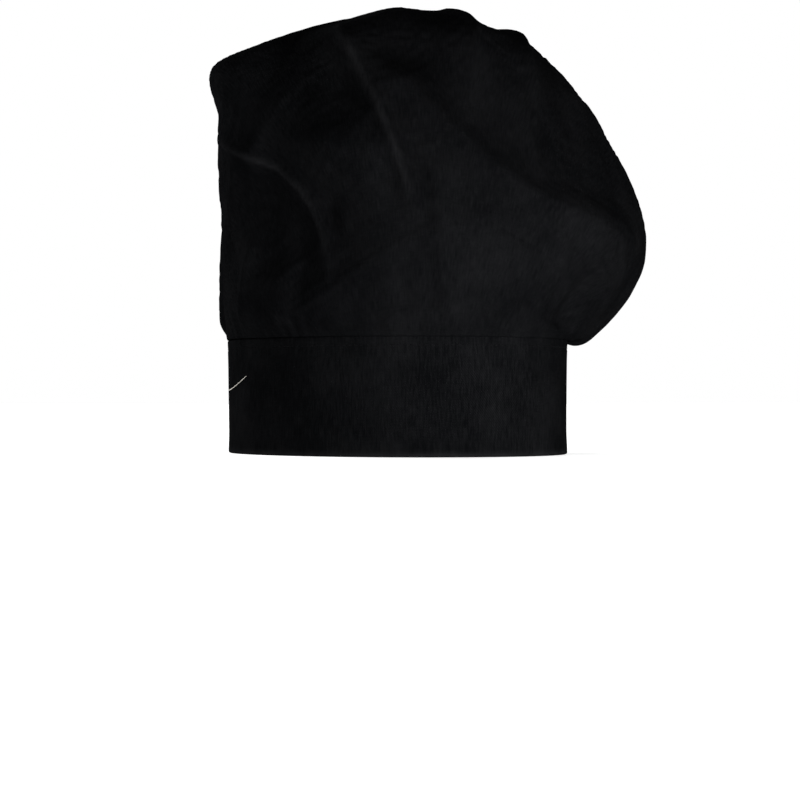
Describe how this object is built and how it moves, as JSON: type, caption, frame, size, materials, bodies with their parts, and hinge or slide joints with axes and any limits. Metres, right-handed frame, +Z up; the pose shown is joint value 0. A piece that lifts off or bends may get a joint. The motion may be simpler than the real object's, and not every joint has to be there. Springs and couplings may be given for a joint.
{
  "type": "mushroom chef hat",
  "caption": "Soft chef's hat: a full, slouching cloth crown gathered into a plain upright cloth band, open below for the head.",
  "frame": {"origin": "under the middle of the hat's box, on the surface that the hat stands on", "axes": "+Z up through the crown, -Y to the front of the hat, +X to the wearer's left"},
  "size_m": [0.2278, 0.2398, 0.226],
  "materials": {
    "black_twill": "matte cotton twill",
    "black_twill_band": "matte cotton twill, stiffened"
  },
  "bodies": {
    "root": {"band": "black_twill_band", "crown": "black_twill"}
  },
  "joints": []
}
